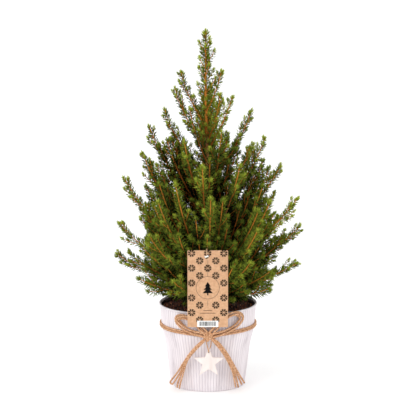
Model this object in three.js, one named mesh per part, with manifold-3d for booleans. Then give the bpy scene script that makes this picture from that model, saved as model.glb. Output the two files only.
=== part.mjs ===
// A dwarf Alberta spruce in its zinc pot, dressed as a small Christmas gift: a corrugated pot with a
// rolled rim, compost, a tapering trunk, ascending boughs, masses of needles, a jute bow, a wooden
// star and a card tag on a thread.
//
// Millimetres, +Z up. The front, with the star and the tag, faces -Y. The origin is the centre of the
// pot's flat underside. Azimuths are degrees round the trunk: 0 is +X, 90 the back, 270 the front.
import * as THREE from "three";
import { mergeVertices } from "three/addons/utils/BufferGeometryUtils.js";
import Module from "manifold-3d";

const wasm = await Module();
wasm.setup();

// ---------------------------------------------------------------- driving dimensions
const GAP = 0.35; // left between solids that touch

const POT = {
  height: 136,
  foot: 59.3, // radius of the flat underside
  shoulder: 67.6, // body radius where it starts to flare out to the collar
  shoulderHeight: 69,
  collar: 74.3, // radius at the collar's lower edge
  collarHeight: 95,
  collarTop: 77.4,
  rim: 80, // outermost radius of the rolled rim
  bead: 4.4, // height of the rolled rim
  wall: 1.4,
  sides: 32,
};
const COMPOST = { edge: 127, crown: 131, flat: 16, sides: 24, lumps: 1.3 };
const TRUNK = { foot: COMPOST.crown + GAP, tip: 574, flare: 9.5, waist: 6.6, end: 0.9, lean: -3.2, sides: 10 };

const BOUGH = { thick: 2.9, thin: 1.25, sides: 5, steps: 3 };
const SWEEP = 0.45; // how much a limb bends upwards on its way out: 0 is straight
const MASS = { around: 7, along: 6, uneven: 0.13 };

// Each plume is a limb with its mass of needles.
// azimuth, height where its limb leaves the trunk, reach and height of its tip, girth (radius) of its mass
const TOP = [
  [180, 425, 40, 517, 11],
  [333, 400, 27, 521, 10],
  [201, 360, 55, 494, 13],
  [7, 380, 41, 475, 13],
  [303, 385, 42, 487, 12],
  [235, 350, 49, 465, 14],
];
const LEFT = [
  [188, 262, 71, 458, 19],
  [174, 265, 96, 427, 20],
  [193, 222, 109, 389, 22],
  [174, 190, 138, 341, 24],
  [188, 162, 145, 273, 24],
  [176, 144, 149, 216, 21],
];
const RIGHT = [
  [8, 262, 71, 453, 18],
  [348, 240, 93, 412, 20],
  [5, 215, 117, 364, 22],
  [354, 186, 144, 312, 23],
  [8, 162, 150, 259, 22],
  [352, 144, 145, 207, 21],
];
const FRONT = [
  [246, 270, 93, 418, 19],
  [286, 285, 78, 431, 19],
  [265, 235, 110, 382, 19],
  [297, 215, 110, 382, 21],
  [246, 205, 128, 355, 22],
  [271.5, 178, 138, 337, 18],
  [234, 182, 135, 325, 21],
  [316, 188, 136, 322, 22],
  [231, 152, 147, 271, 23],
  [304, 162, 139, 280, 22],
  [269, 196, 108, 268, 19],
  [246, 144, 134, 199, 20],
  [299, 146, 136, 228, 21],
];
const BACK = [
  [75, 330, 60, 455, 22],
  [125, 260, 100, 400, 26],
  [45, 250, 105, 385, 26],
  [90, 205, 135, 335, 30],
  [140, 165, 146, 275, 30],
  [50, 165, 146, 270, 30],
  [95, 144, 148, 212, 29],
];
// The limbs that are bare between the inner foliage and their own mass.
const BARE_BOUGHS = [
  "left_4", "left_5", "left_6", "right_3", "right_4", "right_5", "right_6",
  "front_4", "front_6", "front_9",
];
const MASS_START = { bare: 0.55, hidden: 0.4 }; // share of the limb's length before its mass begins

// Inner foliage round the trunk: lower and upper end, radius at its widest, radius at its top
const CORES = { low: [133.5, 268, 92, 80], high: [268.8, 452, 78, 30] };
const LEADER = { foot: 452.8, tip: 583, girth: 14 };

// Twine: strands that run side by side, two high round the collar, and are tied in a bow.
const TWINE = { radius: 2.7, sides: 8, knot: [0, -83.2, 99.4] };
const BAND = { height: 101, strand: 1.75, apart: 3.3, dip: 2, sides: 8, ringSteps: 40 };
const KNOT = { wide: 6.4, deep: 4.6, tall: 7.2 };
const LOOPS = [
  [[0, -84, 99], [-12, -85.5, 102], [-28, -80, 106.5], [-42, -70.5, 112.5], [-50.5, -65, 121],
    [-47, -70, 127.5], [-36, -77.5, 129.5], [-22, -83, 124], [-11, -86, 112], [-2, -86, 102]],
  [[0, -84, 99], [13, -85.5, 101.5], [30, -79.5, 105.5], [45, -69, 111.5], [54.5, -62, 122],
    [51, -67.5, 130], [42, -75, 133], [27, -82, 128], [13, -86, 114], [2, -86, 102]],
];
const TAILS = [
  [[0, -84, 98], [-10, -84, 89], [-25, -79, 72], [-38, -68, 51], [-47.5, -57, 34], [-61, -40, 11]],
  [[-35, -71, 56], [-43, -63, 40], [-48, -55, 22], [-50, -50, 5]],
  [[0, -84, 98], [12, -84, 90], [25, -79, 73], [36, -69, 52], [45, -58, 31], [57, -44, 10]],
  [[34, -71, 56], [40, -63, 38], [44, -57, 21], [46.5, -52, 6]],
];

const STAR = { centre: [1.3, -79, 54], tip: 25.4, notch: 0.42, thick: 4, bevel: 0.6, hole: 1.9, holeDrop: 8 };
const STAR_STRING = {
  radius: 0.75,
  path: [[-3.4, -84.6, 91], [-1.4, -83.9, 83], [0.8, -83, 75], [1.2, -81.4, 72], [1.3, -79, 71.4],
    [1.4, -76.6, 72], [2.6, -75.9, 75.5], [4.6, -77.8, 82], [5, -81.2, 90]],
};

const TAG = {
  wide: 65, tall: 128, thick: 0.8, corner: 1, foot: [-0.4, -91, 115.6], tilt: 3.6,
  hole: 3, holeDrop: 11, holeShift: -2,
};
const TAG_TIE = {
  radius: 0.6,
  bead: 1.5,
  path: [[-2.4, -101.2, 233.5], [-2.4, -101.6, 240.5], [-2, -100.2, 247], [1, -94, 247.8], [7, -80, 245.5],
    [8.5, -66, 244.5], [1, -60.5, 243.5], [-6.5, -66, 241.5], [-7, -80, 237.5], [-3.2, -92.5, 233.6],
    [-2.4, -98.4, 232.4], [-2.4, -101.2, 233.5]],
};

// ---------------------------------------------------------------- solids and curves
// A closed three.js geometry as a manifold-3d solid.
function solidOf(geometry) {
  const bare = geometry.clone();
  for (const name of Object.keys(bare.attributes)) if (name !== "position") bare.deleteAttribute(name);
  const merged = mergeVertices(bare, 1e-4);
  return new wasm.Manifold(
    new wasm.Mesh({
      numProp: 3,
      vertProperties: new Float32Array(merged.attributes.position.array),
      triVerts: new Uint32Array(merged.index.array),
    }),
  );
}

// The largest body of a manifold-3d solid as a three.js geometry.
function geometryOf(solid) {
  const largest = solid.decompose().reduce((a, b) => (b.volume() > a.volume() ? b : a));
  const mesh = largest.getMesh();
  const geometry = new THREE.BufferGeometry();
  geometry.setAttribute("position", new THREE.BufferAttribute(new Float32Array(mesh.vertProperties), 3));
  geometry.setIndex(new THREE.BufferAttribute(new Uint32Array(mesh.triVerts), 1));
  geometry.computeVertexNormals();
  return geometry;
}

const vector = (p) => new THREE.Vector3(...p);
const radians = THREE.MathUtils.degToRad;

// A tube of round section along a smooth curve through the points.
function tube(points, radius, sides, steps) {
  const section = new THREE.Shape();
  for (let i = 0; i < sides; i++) {
    const a = (2 * Math.PI * i) / sides;
    const [x, y] = [radius * Math.cos(a), radius * Math.sin(a)];
    if (i) section.lineTo(x, y);
    else section.moveTo(x, y);
  }
  const extrudePath = new THREE.CatmullRomCurve3(points.map(vector), false, "centripetal");
  return new THREE.ExtrudeGeometry(section, { steps, bevelEnabled: false, extrudePath });
}

// Bends a solid of revolution about Y, with y from 0 to 1, along a curve. side is a direction square
// to the curve's plane and swell(angle, share) is the radius.
function alongCurve(geometry, at, side, swell) {
  const p = geometry.attributes.position;
  const step = 1e-3;
  for (let i = 0; i < p.count; i++) {
    const share = THREE.MathUtils.clamp(p.getY(i), 0, 1);
    const onAxis = Math.hypot(p.getX(i), p.getZ(i)) < 1e-5;
    const angle = onAxis ? 0 : Math.atan2(p.getZ(i), p.getX(i));
    const radius = onAxis ? 0 : swell(angle, share);
    const tangent = at(Math.min(share + step, 1)).sub(at(Math.max(share - step, 0))).normalize();
    const aside = side.clone().addScaledVector(tangent, -side.dot(tangent)).normalize();
    const upward = new THREE.Vector3().crossVectors(aside, tangent);
    const placed = at(share)
      .addScaledVector(aside, radius * Math.cos(angle))
      .addScaledVector(upward, radius * Math.sin(angle));
    p.setXYZ(i, placed.x, placed.y, placed.z);
  }
  return geometry;
}

// A sphere whose y runs from 0 to 1 evenly, ready for alongCurve.
function ballOf(around, along) {
  const ball = new THREE.SphereGeometry(1, around, along);
  const p = ball.attributes.position;
  for (let i = 0; i < p.count; i++) p.setY(i, 1 - Math.acos(THREE.MathUtils.clamp(p.getY(i), -1, 1)) / Math.PI);
  return ball;
}

function boxOf(bounds) {
  const [size, middle] = [bounds.getSize(new THREE.Vector3()), bounds.getCenter(new THREE.Vector3())];
  return new THREE.BoxGeometry(...size).translate(...middle);
}

const rodOf = (around, along) => new THREE.CylinderGeometry(1, 1, 1, around, along).translate(0, 0.5, 0);

// ---------------------------------------------------------------- the pot and its compost
function wallRadius(z) {
  const { height, foot, shoulder, shoulderHeight, collar, collarHeight, collarTop, bead } = POT;
  if (z < shoulderHeight) return THREE.MathUtils.mapLinear(z, 0, shoulderHeight, foot, shoulder);
  if (z < collarHeight) return THREE.MathUtils.mapLinear(z, shoulderHeight, collarHeight, shoulder, collar);
  return THREE.MathUtils.mapLinear(z, collarHeight, height - bead, collar, collarTop);
}

function potGeometry() {
  const { height, foot, shoulder, shoulderHeight, collar, collarHeight, collarTop, rim, bead, wall, sides } = POT;
  const profile = [
    [0, 0],
    [foot - 1.2, 0],
    [foot, 1.2],
    [shoulder, shoulderHeight],
    [collar, collarHeight],
    [collarTop, height - bead],
    [rim - 0.6, height - bead + 0.6],
    [rim, height - bead / 2],
    [rim - 0.6, height - 0.6],
    [rim - bead / 2, height],
    [collarTop - wall, height - bead / 2],
    [collar - wall, collarHeight],
    [shoulder - wall, shoulderHeight],
    [foot - wall, wall + 0.6],
    [0, wall + 0.6],
  ];
  return new THREE.LatheGeometry(profile.map(([r, z]) => new THREE.Vector2(r, z)), sides).rotateX(Math.PI / 2);
}

function compostGeometry() {
  const { foot, shoulderHeight, collarHeight, wall } = POT;
  const { edge, crown, flat, sides, lumps } = COMPOST;
  const inside = wall + 2 * GAP;
  const edgeRadius = wallRadius(edge) - inside;
  const profile = [
    [0, wall + 0.6 + GAP],
    [foot - inside, wall + 0.6 + GAP],
    [wallRadius(shoulderHeight) - inside, shoulderHeight],
    [wallRadius(collarHeight) - inside, collarHeight],
    [edgeRadius, edge],
    [(edgeRadius * 2 + flat) / 3, edge + 1],
    [(edgeRadius + flat * 2) / 3, crown - 1.2],
    [flat, crown],
    [0, crown],
  ];
  const geometry = new THREE.LatheGeometry(profile.map(([r, z]) => new THREE.Vector2(r, z)), sides);
  const p = geometry.attributes.position;
  for (let i = 0; i < p.count; i++) {
    const radius = Math.hypot(p.getX(i), p.getZ(i));
    if (p.getY(i) > edge + 0.5 && radius > flat + 1) {
      const angle = Math.atan2(p.getZ(i), p.getX(i));
      p.setY(i, p.getY(i) + lumps * Math.sin(5 * angle + radius) * Math.cos(3 * angle - radius / 9));
    }
  }
  return geometry.rotateX(Math.PI / 2);
}

// ---------------------------------------------------------------- trunk, boughs and masses
// The trunk's centre line: it leans a little and sways as it rises.
function trunkPoint(z) {
  const rise = (z - TRUNK.foot) / (TRUNK.tip - TRUNK.foot);
  const sway = Math.sin(rise * Math.PI * 2) * 1.4;
  return new THREE.Vector3(TRUNK.lean * rise + sway, Math.sin(rise * Math.PI) * 1.2, z);
}

function trunkRadius(z) {
  const rise = (z - TRUNK.foot) / (TRUNK.tip - TRUNK.foot);
  const flare = (TRUNK.flare - TRUNK.waist) * Math.exp(-rise * 30);
  return TRUNK.end + (TRUNK.waist - TRUNK.end) * (1 - rise) ** 1.1 + flare;
}

function trunkGeometry(grow = 0) {
  const height = (share) => TRUNK.foot + (TRUNK.tip + grow - TRUNK.foot) * share ** 1.25;
  return alongCurve(
    rodOf(TRUNK.sides, 10),
    (share) => trunkPoint(height(share)),
    new THREE.Vector3(1, 0, 0),
    (angle, share) => trunkRadius(Math.min(height(share), TRUNK.tip)) + grow,
  );
}

// A limb's centre line from the trunk, at share 0, to the tip of its mass, at share 1.
function limbPoint(plume, share) {
  const out = plume.reach * ((1 + SWEEP) * share - SWEEP * share ** 2);
  const start = trunkPoint(plume.base);
  return new THREE.Vector3(
    start.x + out * Math.cos(radians(plume.azimuth)),
    start.y + out * Math.sin(radians(plume.azimuth)),
    plume.base + (plume.tip - plume.base) * share,
  );
}

const acrossLimb = ({ azimuth }) => new THREE.Vector3(-Math.sin(radians(azimuth)), Math.cos(radians(azimuth)), 0);

function boughGeometry(plume, grow = 0) {
  const end = MASS_START.bare + 0.012;
  return alongCurve(
    rodOf(BOUGH.sides, BOUGH.steps),
    (share) => limbPoint(plume, share * end),
    acrossLimb(plume),
    (angle, share) => THREE.MathUtils.lerp(BOUGH.thick, BOUGH.thin, share) + grow,
  );
}

// Radius of a mass along its length, as a share of its girth: full low down, drawn out to a point.
const plumeProfile = (share) => Math.sin(Math.PI * Math.min(share, 1) ** 0.6) ** 0.8;

// Uneven swellings, different on each mass.
function unevenness(angle, share, seed) {
  const broad = Math.sin(3 * angle + 6 * share + seed * 2.4);
  const fine = Math.sin(5 * angle - 9 * share + seed * 4.1);
  return 1 + MASS.uneven * (broad + 0.6 * fine);
}

function plumeGeometry(plume, grow = 0) {
  return alongCurve(
    ballOf(MASS.around, MASS.along),
    (share) => limbPoint(plume, plume.start + (1 - plume.start) * share),
    acrossLimb(plume),
    (angle, share) => plume.girth * plumeProfile(share) * unevenness(angle, share, plume.seed) + grow,
  );
}

// Foliage wrapped round the trunk between two heights; ease shapes the ends.
function sleeveGeometry({ foot, tip, radius, around, along, seed }) {
  return alongCurve(
    ballOf(around, along),
    (share) => trunkPoint(foot + (tip - foot) * share),
    new THREE.Vector3(1, 0, 0),
    (angle, share) => radius(share) * unevenness(angle, share, seed),
  );
}

function coreGeometry([foot, tip, wide, narrow], seed) {
  const blunt = (share) => Math.min(1, (share / 0.2) ** 0.5, ((1 - share) / 0.14) ** 0.5);
  const radius = (share) => THREE.MathUtils.lerp(wide, narrow, share) * blunt(share);
  return sleeveGeometry({ foot, tip, radius, around: 12, along: 8, seed });
}

function leaderGeometry() {
  const radius = (share) => LEADER.girth * plumeProfile(share);
  return sleeveGeometry({ foot: LEADER.foot, tip: LEADER.tip, radius, around: 8, along: 8, seed: 1 });
}

// ---------------------------------------------------------------- twine, star and tag
// The band runs round the collar from one side of the knot to the other, and dips towards it.
function bandSolid(spare) {
  const { height, strand, apart, dip, sides, ringSteps } = BAND;
  const ring = wallRadius(height) + strand + 2 * GAP;
  const half = Math.asin((KNOT.wide + GAP) / ring);
  const strands = [-apart / 2, apart / 2].map((shift) => {
    const points = Array.from({ length: ringSteps + 1 }, (_, i) => {
      const turned = half + ((2 * Math.PI - 2 * half) * i) / ringSteps;
      const toFront = Math.max(0, Math.cos(turned) ** 15);
      return [ring * Math.sin(turned), -ring * Math.cos(turned), height + shift - dip * toFront];
    });
    return solidOf(tube(points, strand + spare, sides, ringSteps));
  });
  return strands[0].add(strands[1]);
}

function bowSolid(band) {
  const knot = new THREE.SphereGeometry(1, 8, 6).scale(KNOT.wide, KNOT.deep, KNOT.tall);
  let bow = solidOf(knot.translate(...TWINE.knot));
  const parts = [
    ...LOOPS.map((points) => tube(points, TWINE.radius - 0.3, TWINE.sides, 15)),
    ...TAILS.map((points) => tube(points, TWINE.radius - 0.7, TWINE.sides, 5)),
  ];
  for (const part of parts) bow = bow.add(solidOf(part));
  return bow.subtract(band);
}

function starGeometry() {
  const { tip, notch, thick, bevel, hole, holeDrop } = STAR;
  const outline = new THREE.Shape();
  for (let i = 0; i < 10; i++) {
    const reach = (i % 2 ? tip * notch : tip) - bevel;
    const a = Math.PI / 2 + (Math.PI * i) / 5;
    if (i) outline.lineTo(reach * Math.cos(a), reach * Math.sin(a));
    else outline.moveTo(reach * Math.cos(a), reach * Math.sin(a));
  }
  const eye = new THREE.Path().absarc(0, tip - holeDrop, hole, 0, 2 * Math.PI, true);
  outline.holes.push(eye);
  const depth = thick - 2 * bevel;
  const options = { depth, bevelSize: bevel, bevelThickness: bevel, bevelSegments: 1, curveSegments: 12 };
  return new THREE.ExtrudeGeometry(outline, options).translate(0, 0, -depth / 2).rotateX(Math.PI / 2);
}

function tagGeometry() {
  const { wide, tall, thick, corner, hole, holeDrop, holeShift } = TAG;
  const card = new THREE.Shape();
  card.moveTo(-wide / 2 + corner, 0).lineTo(wide / 2 - corner, 0).lineTo(wide / 2, corner);
  card.lineTo(wide / 2, tall - corner).lineTo(wide / 2 - corner, tall).lineTo(-wide / 2 + corner, tall);
  card.lineTo(-wide / 2, tall - corner).lineTo(-wide / 2, corner);
  card.holes.push(new THREE.Path().absarc(holeShift, tall - holeDrop, hole, 0, 2 * Math.PI, true));
  return new THREE.ExtrudeGeometry(card, { depth: thick, bevelEnabled: false, curveSegments: 16 })
    .translate(0, 0, -thick / 2)
    .rotateX(Math.PI / 2);
}

// The room kept clear of foliage: the tag itself and all that lies in front of it.
function tagRoom() {
  const { wide, tall, foot, tilt, thick } = TAG;
  const ahead = 90;
  const room = new THREE.BoxGeometry(wide + 2, ahead, tall + 2).translate(0, -ahead / 2 + thick / 2 + GAP, tall / 2);
  return solidOf(room.rotateX(radians(tilt)).translate(...foot));
}

function tieSolid() {
  const thread = solidOf(tube(TAG_TIE.path, TAG_TIE.radius, 6, 26));
  const bead = new THREE.SphereGeometry(TAG_TIE.bead, 8, 5).translate(...TAG_TIE.path[0]);
  return thread.add(solidOf(bead));
}

// ---------------------------------------------------------------- materials
const finish = (color, roughness, metalness = 0) => new THREE.MeshStandardMaterial({ color, roughness, metalness });
const MATERIALS = {
  zinc: finish(0xe6e0e4, 0.6, 0.2),
  compost: finish(0x3a1d14, 0.95),
  bark: finish(0x8a5230, 0.85),
  needles: finish(0x3f6420, 0.7),
  jute: finish(0xc08a52, 0.9),
  wood: finish(0xefe6e0, 0.7),
  card: finish(0xd9a878, 0.85),
  thread: finish(0xf2f0ea, 0.6),
};

// ---------------------------------------------------------------- the assembly
const spruce = new THREE.Group();

function addPart(name, geometry, material, place = {}) {
  const mesh = new THREE.Mesh(geometry, material);
  mesh.name = name;
  if (place.position) mesh.position.set(...place.position);
  if (place.tilt) mesh.rotation.x = radians(place.tilt);
  spruce.add(mesh);
  mesh.updateMatrixWorld(true);
  return solidOf(geometry.clone().applyMatrix4(mesh.matrixWorld));
}

function plumesOf(side, rows) {
  return rows.map(([azimuth, base, reach, tip, girth], i) => {
    const name = `${side}_${i + 1}`;
    const bare = BARE_BOUGHS.includes(name);
    const start = bare ? MASS_START.bare : MASS_START.hidden;
    return { name, azimuth, base, reach, tip, girth, bare, start, seed: i + azimuth / 60 };
  });
}

addPart("pot", potGeometry(), MATERIALS.zinc);
addPart("compost", compostGeometry(), MATERIALS.compost);
addPart("trunk", trunkGeometry(), MATERIALS.bark);

addPart("twine_band", geometryOf(bandSolid(0)), MATERIALS.jute);
addPart("twine_bow", geometryOf(bowSolid(bandSolid(GAP))), MATERIALS.jute);
addPart("star", starGeometry(), MATERIALS.wood, { position: STAR.centre });
addPart("star_string", tube(STAR_STRING.path, STAR_STRING.radius, 6, 14), MATERIALS.jute);
addPart("tag", tagGeometry(), MATERIALS.card, { position: TAG.foot, tilt: TAG.tilt });
addPart("tag_tie", geometryOf(tieSolid()), MATERIALS.thread);

const plumes = [
  ...plumesOf("top", TOP),
  ...plumesOf("left", LEFT),
  ...plumesOf("right", RIGHT),
  ...plumesOf("front", FRONT),
  ...plumesOf("back", BACK),
];

// Wood first. A bough starts at the trunk's surface and ends where it enters its mass.
const trunkRoom = solidOf(trunkGeometry(GAP));
let woodRoom = trunkRoom;
for (const plume of plumes.filter((p) => p.bare)) {
  const bough = solidOf(boughGeometry(plume)).subtract(trunkRoom);
  addPart(`bough_${plume.name}`, geometryOf(bough), MATERIALS.bark);
  woodRoom = woodRoom.add(solidOf(boughGeometry(plume, GAP)));
}

// Then the foliage: the inner masses are cut round the wood, and each plume round all that stands there.
const tieBox = new THREE.Box3().setFromPoints(TAG_TIE.path.map(vector)).expandByScalar(2);
const tieRoom = solidOf(boxOf(tieBox));
let taken = woodRoom.add(tagRoom()).add(tieRoom);
function addMass(name, solid, room) {
  addPart(`foliage_${name}`, geometryOf(solid.subtract(taken)), MATERIALS.needles);
  taken = taken.add(room);
}
for (const [name, row] of Object.entries(CORES)) {
  const grown = [row[0] - GAP, row[1] + GAP, row[2] + GAP, row[3] + GAP];
  addMass(`core_${name}`, solidOf(coreGeometry(row, 3)), solidOf(coreGeometry(grown, 3)));
}
addMass("leader", solidOf(leaderGeometry()), solidOf(leaderGeometry()));
for (const plume of plumes) addMass(plume.name, solidOf(plumeGeometry(plume)), solidOf(plumeGeometry(plume, GAP)));

export default spruce;
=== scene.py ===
"""Looks of a dwarf Alberta spruce in its whitewashed zinc pot, dressed with a jute bow, a wooden star
and a card tag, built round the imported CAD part.

Metres, +Z up, the front faces -Y, the origin is the centre of the pot's flat underside. Every spray of
shoots grows on from the trunk and the CAD boughs, and its tip is that of the CAD mass it stands for.
"""

import math

import bpy
import numpy as np
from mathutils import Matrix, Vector
from mathutils.bvhtree import BVHTree


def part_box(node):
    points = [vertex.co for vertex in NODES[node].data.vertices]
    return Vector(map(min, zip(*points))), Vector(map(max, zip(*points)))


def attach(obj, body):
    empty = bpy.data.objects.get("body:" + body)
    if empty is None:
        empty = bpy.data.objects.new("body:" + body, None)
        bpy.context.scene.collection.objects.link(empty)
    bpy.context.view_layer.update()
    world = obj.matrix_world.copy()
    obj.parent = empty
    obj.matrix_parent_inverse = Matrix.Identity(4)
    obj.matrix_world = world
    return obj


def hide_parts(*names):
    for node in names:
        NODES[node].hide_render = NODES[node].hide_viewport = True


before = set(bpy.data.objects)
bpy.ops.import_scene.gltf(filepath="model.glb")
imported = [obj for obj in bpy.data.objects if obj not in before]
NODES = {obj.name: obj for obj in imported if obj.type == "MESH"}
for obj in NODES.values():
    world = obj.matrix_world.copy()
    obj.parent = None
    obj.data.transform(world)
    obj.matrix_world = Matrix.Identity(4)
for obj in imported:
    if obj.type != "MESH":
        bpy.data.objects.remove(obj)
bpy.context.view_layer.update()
MM = 0.001
GOLDEN = math.pi * (3 - math.sqrt(5))
UP = np.array([0.0, 0.0, 1.0])
chance = np.random.default_rng(11)


# ---------------------------------------------------------------- camera, light and floor
VIEW = {"distance": 6.0, "elevation": 11.7, "aim": (0.0, 0.0, 0.292), "lens": 320.5, "sensor": 36}
LIGHT = {"world": 1.1, "top": 0.45, "top_spread": 60, "top_turn": (28, 0, -22)}
KEY = {"place": (-1.6, -2.4, 1.8), "size": 0.7, "power": 12}
FLOOR_REACH = 40  # metres from the middle to a side


def add_camera():
    data = bpy.data.cameras.new("camera")
    data.lens = VIEW["lens"]
    data.sensor_width = VIEW["sensor"]
    camera = bpy.data.objects.new("camera", data)
    bpy.context.scene.collection.objects.link(camera)
    tilt = math.radians(VIEW["elevation"])
    away = Vector((0, -math.cos(tilt), math.sin(tilt)))
    camera.location = Vector(VIEW["aim"]) + VIEW["distance"] * away
    camera.rotation_euler = (math.pi / 2 - tilt, 0, 0)
    bpy.context.scene.camera = camera


def add_key_light():
    data = bpy.data.lights.new("key", "AREA")
    data.shape = "DISK"
    data.size, data.energy = KEY["size"], KEY["power"]
    lamp = bpy.data.objects.new("key", data)
    bpy.context.scene.collection.objects.link(lamp)
    lamp.location = KEY["place"]
    lamp.rotation_euler = (Vector(VIEW["aim"]) - Vector(KEY["place"])).to_track_quat("-Z", "Y").to_euler()


def add_studio():
    scene = bpy.context.scene
    scene.view_settings.view_transform = "Standard"
    world = bpy.data.worlds.new("studio")
    world.use_nodes = True
    scene.world = world
    background = world.node_tree.nodes["Background"]
    background.inputs["Color"].default_value = (1, 1, 1, 1)
    background.inputs["Strength"].default_value = LIGHT["world"]
    sun = bpy.data.objects.new("top_light", bpy.data.lights.new("top_light", "SUN"))
    sun.data.energy = LIGHT["top"]
    sun.data.angle = math.radians(LIGHT["top_spread"])
    sun.rotation_euler = [math.radians(turn) for turn in LIGHT["top_turn"]]
    scene.collection.objects.link(sun)
    add_key_light()
    corners = FLOOR_REACH * np.array([[-1, -1, 0], [1, -1, 0], [1, 1, 0], [-1, 1, 0]], float)
    halves = np.array([[0, 1, 2], [0, 2, 3]])
    floor = mesh_object("floor", corners, halves, plain("floor", (254, 254, 254), 0.9))


# ---------------------------------------------------------------- materials
def linear(rgb):
    """An sRGB colour from 0 to 255 as Blender's linear one."""
    c = np.array(rgb, float) / 255
    return (*np.where(c <= 0.04045, c / 12.92, ((c + 0.055) / 1.055) ** 2.4), 1.0)


def plain(name, rgb, roughness=0.6, metallic=0.0, specular=0.5):
    material = bpy.data.materials.new(name)
    material.use_nodes = True
    shader = material.node_tree.nodes["Principled BSDF"]
    shader.inputs["Base Color"].default_value = linear(rgb)
    shader.inputs["Roughness"].default_value = roughness
    shader.inputs["Metallic"].default_value = metallic
    shader.inputs["Specular IOR Level"].default_value = specular
    return material


def mottled(name, colours, scale, stretch=(1, 1, 1), roughness=0.7, detail=6.0, specular=0.5):
    """Noise in object space runs the base colour through colours, given as (place, rgb)."""
    material = plain(name, colours[0][1], roughness, specular=specular)
    tree = material.node_tree
    where = tree.nodes.new("ShaderNodeTexCoord")
    mapping = tree.nodes.new("ShaderNodeMapping")
    noise = tree.nodes.new("ShaderNodeTexNoise")
    ramp = tree.nodes.new("ShaderNodeValToRGB")
    mapping.inputs["Scale"].default_value = stretch
    noise.inputs["Scale"].default_value = scale
    noise.inputs["Detail"].default_value = detail
    while len(ramp.color_ramp.elements) < len(colours):
        ramp.color_ramp.elements.new(0.5)
    for element, (place, rgb) in zip(ramp.color_ramp.elements, colours):
        element.position = place
        element.color = linear(rgb)
    tree.links.new(where.outputs["Object"], mapping.inputs["Vector"])
    tree.links.new(mapping.outputs["Vector"], noise.inputs["Vector"])
    tree.links.new(noise.outputs["Fac"], ramp.inputs["Fac"])
    tree.links.new(ramp.outputs["Color"], tree.nodes["Principled BSDF"].inputs["Base Color"])
    return material


# ---------------------------------------------------------------- meshes
def mesh_object(name, points, faces, material, smooth=False):
    """A mesh from points (n, 3) and faces, an array whose rows all have the same number of corners."""
    mesh = bpy.data.meshes.new(name)
    faces = np.asarray(faces, np.int32)
    mesh.vertices.add(len(points))
    mesh.vertices.foreach_set("co", np.asarray(points, np.float32).ravel())
    mesh.loops.add(faces.size)
    mesh.loops.foreach_set("vertex_index", faces.ravel())
    mesh.polygons.add(len(faces))
    mesh.polygons.foreach_set("loop_start", np.arange(0, faces.size, faces.shape[1], dtype=np.int32))
    mesh.update(calc_edges=True)
    mesh.validate()
    mesh.shade_smooth() if smooth else mesh.shade_flat()
    mesh.materials.append(material)
    piece = bpy.data.objects.new(name, mesh)
    bpy.context.scene.collection.objects.link(piece)
    return piece


class Batch:
    """Gathers many small shapes of triangles that become one mesh."""

    def __init__(self):
        self.points, self.faces, self.count = [], [], 0

    def add(self, points, faces):
        self.points.append(np.asarray(points, float))
        self.faces.append(np.asarray(faces) + self.count)
        self.count += len(points)

    def build(self, name, material, smooth=False):
        return mesh_object(name, np.concatenate(self.points), np.concatenate(self.faces), material, smooth)


def keep(piece, slot, *nodes):
    """Puts a finished piece on the one body and hides the CAD nodes it stands for. slot is not used."""
    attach(piece, "root")
    if nodes:
        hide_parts(*nodes)
    return piece


def unit(v):
    v = np.asarray(v, float)
    return v / np.maximum(np.linalg.norm(v, axis=-1, keepdims=True), 1e-12)


def smooth_line(points, steps):
    """A Catmull-Rom curve through points, evenly spaced along its length."""
    p = np.asarray(points, float)
    p = np.vstack([2 * p[0] - p[1], p, 2 * p[-1] - p[-2]])
    t = np.linspace(0, 1, 12, endpoint=False)[:, None]
    parts = []
    for a, b, c, d in zip(p[:-3], p[1:-2], p[2:-1], p[3:]):
        square, cube = 2 * a - 5 * b + 4 * c - d, 3 * b - a - 3 * c + d
        parts.append(0.5 * (2 * b + (c - a) * t + square * t**2 + cube * t**3))
    return even_line(np.vstack([*parts, p[-2:-1]]), steps)


def even_line(line, steps):
    """The same line with its points at even distances."""
    travelled = np.concatenate([[0], np.cumsum(np.linalg.norm(np.diff(line, axis=0), axis=1))])
    at = np.linspace(0, travelled[-1], steps + 1)
    return np.stack([np.interp(at, travelled, line[:, k]) for k in range(3)], axis=1)


def line_length(line):
    return float(np.linalg.norm(np.diff(line, axis=0), axis=1).sum())


def frames_along(line):
    """Two directions across a line at each of its points, which don't spin round it."""
    tangents = unit(np.gradient(line, axis=0))
    normal = unit(np.cross(tangents[0], [0.3, 0.9, 0.2]))
    normals = []
    for tangent in tangents:
        normal = unit(normal - tangent * np.dot(normal, tangent))
        normals.append(normal)
    normals = np.array(normals)
    return normals, np.cross(tangents, normals)


def rings_round(line, reach, angle):
    """Points of rings round a line, each at a reach and an angle, and then the line's two ends."""
    across, over = frames_along(line)
    rings = line[:, None] + reach[..., None] * (
        np.cos(angle)[..., None] * across[:, None] + np.sin(angle)[..., None] * over[:, None]
    )
    return np.vstack([rings.reshape(-1, 3), line[:1], line[-1:]])


def swept(line, radius, sides=6, lobes=0, depth=0.0, turns=0.0):
    """A closed tube along line. radius is a number or one for each point; a section with lobes may twist."""
    radii = np.broadcast_to(np.asarray(radius, float), len(line))
    spin = np.linspace(0, 2 * math.pi * turns, len(line))[:, None]
    around = np.linspace(0, 2 * math.pi, sides, endpoint=False)[None, :]
    bulge = 1 + depth * np.cos(lobes * around) if lobes else np.ones_like(around)
    return rings_round(line, radii[:, None] * bulge, around + spin), tube_faces(len(line), sides)


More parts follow.
